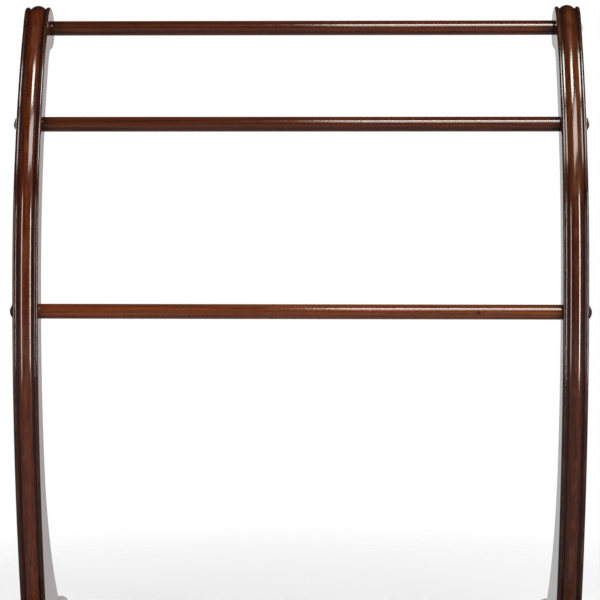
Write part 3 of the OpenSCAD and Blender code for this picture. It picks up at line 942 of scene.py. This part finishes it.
def sawn_foot(name, x0, x1, finish):
    """A board of the foot's outline between two planes, with eased arrises."""
    shell = bmesh.new()
    face = shell.faces.new([shell.verts.new((x0, y, z)) for y, z in foot_outline])
    pushed = bmesh.ops.extrude_face_region(shell, geom=[face])["geom"]
    corners = [item for item in pushed if isinstance(item, bmesh.types.BMVert)]
    bmesh.ops.translate(shell, vec=(x1 - x0, 0, 0), verts=corners)
    bmesh.ops.recalc_face_normals(shell, faces=shell.faces)
    rims = [edge for edge in shell.edges if len({round(vert.co.x, 6) for vert in edge.verts}) == 1]
    bmesh.ops.bevel(
        shell, geom=rims, offset=FOOT_EASE, segments=EASE_SEGMENTS, profile=0.5, affect="EDGES")
    wear = shell.verts.layers.float.new("wear")
    for vert in shell.verts:
        inside = min(vert.co.x - min(x0, x1), max(x0, x1) - vert.co.x)
        vert[wear] = 1.0 if ON_THE_FACE < inside < FOOT_EASE * WORN_SHARE else 0.0
    for face in shell.faces:
        face.smooth = True
    for edge in shell.edges:
        edge.smooth = edge.calc_face_angle(0) < SMOOTH_ANGLE
    mesh = bpy.data.meshes.new(name)
    shell.to_mesh(mesh)
    open_edges = sum(1 for edge in shell.edges if not edge.is_manifold)
    shell.free()
    mesh.materials.append(finish)
    piece = bpy.data.objects.new(name, mesh)
    bpy.context.scene.collection.objects.link(piece)
    print(name, len(mesh.polygons), "faces,", open_edges, "open edges")
    return piece


for side, way in (("left", -1), ("right", 1)):
    foot = sawn_foot(side + "_sawn_foot", way * INNER_X, way * OUTER_X, foot_wood)
    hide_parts(side + "_foot")
    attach(foot, "root")

# %% [markdown]
# ## What holds the rack together
#
# The bolts, washers, threaded inserts, dowels and glides keep the model's own shapes, which are right as
# they are. They still want real surfaces, because they show when the rack is taken apart: zinc with its
# faint bloom, turned brass, bare beech with its flecks, and dull moulded nylon.

# %% A surface for a hidden part
BLOOM_SCALE = 180.0
MARK_BUMP = 0.3
AROUND = (1, 0.05, 0.05)
EVEN = (1, 1, 1)
UPRIGHT = (1, 1, 0.04)


def plain_stock(name, first, second, scale, squeeze, metal, rough, swing, depth):
    """A metal, plastic or bare wood whose tone and gloss wander, with fine marks from its making."""
    material = bpy.data.materials.new(name)
    material.use_nodes = True
    tree = material.node_tree
    tree.nodes.clear()
    place = add(tree, "ShaderNodeTexCoord").outputs["Object"]
    lines = add(tree, "ShaderNodeVectorMath", {"operation": "MULTIPLY"}, {0: place, 1: squeeze}).outputs[0]
    marks = noise(tree, lines, scale, 3.0, 0.6)
    bloom = noise(tree, place, BLOOM_SCALE, 3.0, 0.6)
    bump = add(tree, "ShaderNodeBump", {}, {"Height": marks, "Strength": MARK_BUMP, "Distance": depth})
    shader = add(tree, "ShaderNodeBsdfPrincipled", {}, {
        "Base Color": blend(tree, spread(tree, bloom), (*first, 1), (*second, 1)),
        "Metallic": metal,
        "Roughness": number(tree, "ADD", rough, spread(tree, marks, -swing, swing)),
        "Normal": bump.outputs[0],
    })
    output = add(tree, "ShaderNodeOutputMaterial")
    tree.links.new(shader.outputs[0], output.inputs[0])
    return material


# %% Give the hidden parts their surfaces
hidden_finishes = {
    "bolt": plain_stock(
        "bright zinc", (0.50, 0.50, 0.50), (0.62, 0.62, 0.60), 2400, AROUND, 1.0, 0.32, 0.08, 0.00002),
    "washer": plain_stock(
        "rolled zinc", (0.55, 0.55, 0.54), (0.66, 0.66, 0.65), 1500, EVEN, 1.0, 0.38, 0.08, 0.00002),
    "insert": plain_stock(
        "turned brass", (0.56, 0.36, 0.12), (0.68, 0.47, 0.18), 2400, AROUND, 1.0, 0.28, 0.08, 0.00002),
    "dowel": plain_stock(
        "bare beech", (0.50, 0.33, 0.18), (0.64, 0.46, 0.27), 900, UPRIGHT, 0.0, 0.62, 0.08, 0.0001),
    "glide": plain_stock(
        "moulded nylon", (0.020, 0.018, 0.016), (0.035, 0.032, 0.029), 1300, EVEN, 0.0, 0.5, 0.1, 0.00005),
}
finished_parts = 0
for name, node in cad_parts.items():
    kind = name.rsplit("_", 1)[-1]
    if kind in hidden_finishes:
        node.data.materials.clear()
        node.data.materials.append(hidden_finishes[kind])
        finished_parts += 1
print(finished_parts, "hidden parts have their surfaces")

# %% [markdown]
# ## Floor, light and camera
#
# The rack stands in a white studio. The floor is a pale disc that fades out into the white behind it. It
# glows a little for the camera alone, and it doesn't show in the lacquer. What the lacquer sees instead
# is the room: bright behind the rack, a third as bright from below, and nearly dark behind the camera.
# That gives it its contrast: the faces that turn away pick up the white, and the fronts stay dark between
# the softboxes.

# %% The floor
FLOOR_RADIUS = 4.0
FADE_START = 0.33
FADE_END = 1.5
FLOOR_GLOW = 0.23
FLOOR_COLOR = (0.79, 0.80, 0.83, 1)
FLOOR_POINTS = 96
FLOOR_GAP = 0.0002


def floor_finish():
    """Pale paper that fades out with distance from the middle."""
    material = bpy.data.materials.new("pale floor")
    material.use_nodes = True
    tree = material.node_tree
    tree.nodes.clear()
    place = add(tree, "ShaderNodeTexCoord").outputs["Object"]
    reach = add(tree, "ShaderNodeVectorMath", {"operation": "LENGTH"}, {0: place}).outputs["Value"]
    shown = fit(tree, reach, FADE_START, FADE_END, 1.0, 0.0)
    seen = add(tree, "ShaderNodeLightPath").outputs["Is Camera Ray"]
    shader = add(tree, "ShaderNodeBsdfPrincipled", {}, {
        "Base Color": FLOOR_COLOR,
        "Roughness": 0.6,
        "Alpha": shown,
        "Emission Color": (1, 1, 1, 1),
        "Emission Strength": number(tree, "MULTIPLY", seen, FLOOR_GLOW),
    })
    output = add(tree, "ShaderNodeOutputMaterial")
    tree.links.new(shader.outputs[0], output.inputs[0])
    return material


angles = [2 * math.pi * i / FLOOR_POINTS for i in range(FLOOR_POINTS)]
rim = [(FLOOR_RADIUS * math.cos(angle), FLOOR_RADIUS * math.sin(angle), 0) for angle in angles]
floor_mesh = bpy.data.meshes.new("floor")
floor_mesh.from_pydata(rim, [], [list(range(FLOOR_POINTS))])
floor_mesh.materials.append(floor_finish())
floor = bpy.data.objects.new("floor", floor_mesh)
floor.location = (0, 0, cad_low.z - FLOOR_GAP)
floor.visible_glossy = False
bpy.context.scene.collection.objects.link(floor)
print("floor", 2 * FLOOR_RADIUS, "m across")

# %% The white room
ROOM_DIM = 0.03
ROOM_BRIGHT = 0.88
GROUND_BRIGHT = 0.34
GROUND_FULL = -0.12
PAPER_EDGE = 0.88
PAPER_FULL = 0.95
world = bpy.data.worlds.new("white room")
bpy.context.scene.world = world
world.use_nodes = True
room = world.node_tree
room.nodes.clear()
towards = add(room, "ShaderNodeTexCoord").outputs["Generated"]
parts = add(room, "ShaderNodeSeparateXYZ", {}, {0: towards}).outputs
paper = add(room, "ShaderNodeMapRange", {"interpolation_type": "SMOOTHSTEP"}, {
    0: parts["Y"], 1: PAPER_EDGE, 2: PAPER_FULL, 3: ROOM_DIM, 4: ROOM_BRIGHT,
}).outputs[0]
ground = add(room, "ShaderNodeMapRange", {"interpolation_type": "SMOOTHSTEP"}, {
    0: parts["Z"], 1: 0.0, 2: GROUND_FULL, 3: 0.0, 4: GROUND_BRIGHT,
}).outputs[0]
seen = add(room, "ShaderNodeLightPath").outputs["Is Camera Ray"]
strength = add(room, "ShaderNodeMix", {"data_type": "FLOAT"}, {
    0: seen, 2: number(room, "MAXIMUM", paper, ground), 3: 1.0,
}).outputs[0]
backdrop = add(room, "ShaderNodeBackground", {}, {"Color": (1, 1, 1, 1), "Strength": strength})
room_out = add(room, "ShaderNodeOutputWorld")
room.links.new(backdrop.outputs[0], room_out.inputs[0])
print("white room:", len(room.nodes), "nodes")

# %% [markdown]
# ## The softboxes
#
# Two tall strips stand in front of the rack, one at each side, and draw the long thin highlights down the
# beads. The key and the top fill hang high in front, and light the upper bows. Two weak ones behind the
# rack light the floor there.

# %% The softboxes
MIDDLE = Vector((0, -0.05, 0.5))


def softbox(name, place, width, height, brightness, tint=(1, 1, 1)):
    """A soft light that faces the rack. Brightness is how white it would look to the eye."""
    light = bpy.data.lights.new(name, "AREA")
    light.shape = "RECTANGLE"
    light.size = width
    light.size_y = height
    light.energy = brightness * math.pi * width * height
    light.color = tint
    lamp = bpy.data.objects.new(name, light)
    lamp.location = place
    lamp.rotation_euler = (MIDDLE - Vector(place)).to_track_quat("-Z", "Y").to_euler()
    lamp.visible_camera = False
    bpy.context.scene.collection.objects.link(lamp)
    print(name, round(light.energy, 1), "W")


WARM = (1.0, 0.95, 0.88)
ROSY = (1.0, 0.93, 0.91)
softbox("right strip", (1.75, -1.45, 0.62), width=0.20, height=1.15, brightness=50, tint=WARM)
softbox("left strip", (-1.80, -1.45, 0.62), width=0.30, height=1.15, brightness=16, tint=ROSY)
softbox("key", (0.40, -1.45, 2.20), width=0.80, height=0.40, brightness=28, tint=(1.0, 0.96, 0.91))
softbox("top fill", (0.85, -1.80, 1.85), width=1.80, height=0.50, brightness=12, tint=(1.0, 0.94, 0.90))
softbox("rear left", (-1.90, 1.90, 1.40), width=1.10, height=0.90, brightness=6)
softbox("rear right", (1.90, 1.90, 1.40), width=1.10, height=0.90, brightness=6)

# %% [markdown]
# ## The camera
#
# It stands a little right of the middle, at mid height, and looks level at the front of the rack with a
# long lens, turned just enough to bring the rack to the middle of the frame.

# %% The camera
CAMERA_RIGHT = 0.050
CAMERA_AWAY = 2.2953
CAMERA_HEIGHT = 0.5085
CAMERA_TURN = math.radians(1.235)
CAMERA_ROLL = math.radians(0.1)
LENS = 104.84
SENSOR_WIDTH = 36
camera_data = bpy.data.cameras.new("camera")
camera_data.lens = LENS
camera_data.sensor_width = SENSOR_WIDTH
camera_data.clip_start = 0.05
camera_data.clip_end = 60
camera = bpy.data.objects.new("camera", camera_data)
camera.matrix_world = (
    Matrix.Translation((CAMERA_RIGHT, post_low.y - CAMERA_AWAY, CAMERA_HEIGHT))
    @ Matrix.Rotation(CAMERA_TURN, 4, "Z")
    @ Matrix.Rotation(math.pi / 2, 4, "X")
    @ Matrix.Rotation(CAMERA_ROLL, 4, "Z")
)
bpy.context.scene.collection.objects.link(camera)
bpy.context.scene.camera = camera
bpy.context.scene.view_settings.view_transform = "Standard"
print("camera at", [round(value, 4) for value in camera.location])
